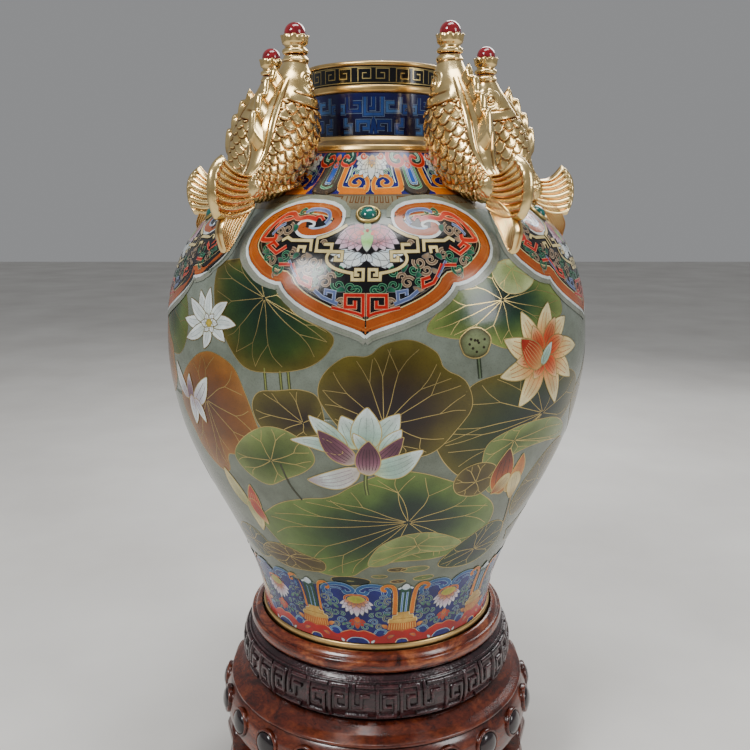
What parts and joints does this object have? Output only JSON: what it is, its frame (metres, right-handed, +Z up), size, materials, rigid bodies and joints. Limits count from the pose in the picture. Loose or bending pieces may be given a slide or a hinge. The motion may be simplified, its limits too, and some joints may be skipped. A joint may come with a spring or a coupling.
{
  "type": "cloisonne vase on stand",
  "caption": "Wide-shouldered cloisonne jar with a lotus-pond scene, gilt carp round the neck and a turned wooden stand it lifts off.",
  "frame": {"origin": "middle of the stand's underside, on the floor", "axes": "+Z up along the jar's axis, the front of the decoration faces -Y, +X to the viewer's right"},
  "size_m": [0.3718, 0.3777, 0.687],
  "materials": {
    "base_plate": "raw copper",
    "bezel_gilt": "gilt",
    "carp_gilt": "gilt, chased",
    "foot_rim": "gilt",
    "green_stone": "polished dark green stone",
    "leg_wood": "red-brown lacquer",
    "lower_body_shell": "polished cloisonne enamel on copper",
    "lower_collar": "gilt",
    "mouth_band": "black cloisonne enamel on copper",
    "mouth_rim": "gilt",
    "neck_shell": "navy cloisonne enamel on copper",
    "pad_wood": "dark, waxed",
    "red_bead": "polished dark red glass",
    "screw_steel": "plain steel",
    "seam_strip": "raw copper",
    "setting_gilt": "gilt, polished",
    "stand_apron": "red-brown lacquer",
    "stand_base_ring": "red-brown lacquer",
    "stand_seat_board": "red-brown, plain",
    "stand_shelf": "red-brown lacquer",
    "stand_top_ring": "polished burl",
    "stand_waist_ring": "carved, dark lacquer",
    "upper_body_shell": "polished cloisonne enamel on copper",
    "upper_collar": "gilt"
  },
  "bodies": {
    "stand": {"stand_apron": "stand_apron", "stand_base_ring": "stand_base_ring", "stand_leg_back_left": "leg_wood", "stand_leg_back_right": "leg_wood", "stand_leg_front": "leg_wood", "stand_leg_left": "leg_wood", "stand_leg_right": "leg_wood", "stand_pad_back_left": "pad_wood", "stand_pad_back_right": "pad_wood", "stand_pad_front": "pad_wood", "stand_pad_left": "pad_wood", "stand_pad_right": "pad_wood", "stand_seat_board": "stand_seat_board", "stand_shelf": "stand_shelf", "stand_top_ring": "stand_top_ring", "stand_waist_ring": "stand_waist_ring"},
    "vase": {"base_plate": "base_plate", "bead_back": "red_bead", "bead_front_left": "red_bead", "bead_front_right": "red_bead", "bead_left": "red_bead", "bead_right": "red_bead", "bead_setting_back": "setting_gilt", "bead_setting_front_left": "setting_gilt", "bead_setting_front_right": "setting_gilt", "bead_setting_left": "setting_gilt", "bead_setting_right": "setting_gilt", "bezel_back_left": "bezel_gilt", "bezel_back_right": "bezel_gilt", "bezel_front": "bezel_gilt", "bezel_left": "bezel_gilt", "bezel_right": "bezel_gilt", "cabochon_back_left": "green_stone", "cabochon_back_right": "green_stone", "cabochon_front": "green_stone", "cabochon_left": "green_stone", "cabochon_right": "green_stone", "carp_back": "carp_gilt", "carp_front_left": "carp_gilt", "carp_front_right": "carp_gilt", "carp_left": "carp_gilt", "carp_right": "carp_gilt", "carp_screw_back": "screw_steel", "carp_screw_front_left": "screw_steel", "carp_screw_front_right": "screw_steel", "carp_screw_left": "screw_steel", "carp_screw_right": "screw_steel", "foot_rim": "foot_rim", "lower_body_shell": "lower_body_shell", "lower_collar": "lower_collar", "mouth_band": "mouth_band", "mouth_rim": "mouth_rim", "neck_shell": "neck_shell", "seam_strip": "seam_strip", "upper_body_shell": "upper_body_shell", "upper_collar": "upper_collar"}
  },
  "joints": [
    {"name": "vase_lift", "type": "slide", "parent": "stand", "child": "vase", "axis": [0, 0, 1], "range_m": [0, 0.12]}
  ]
}
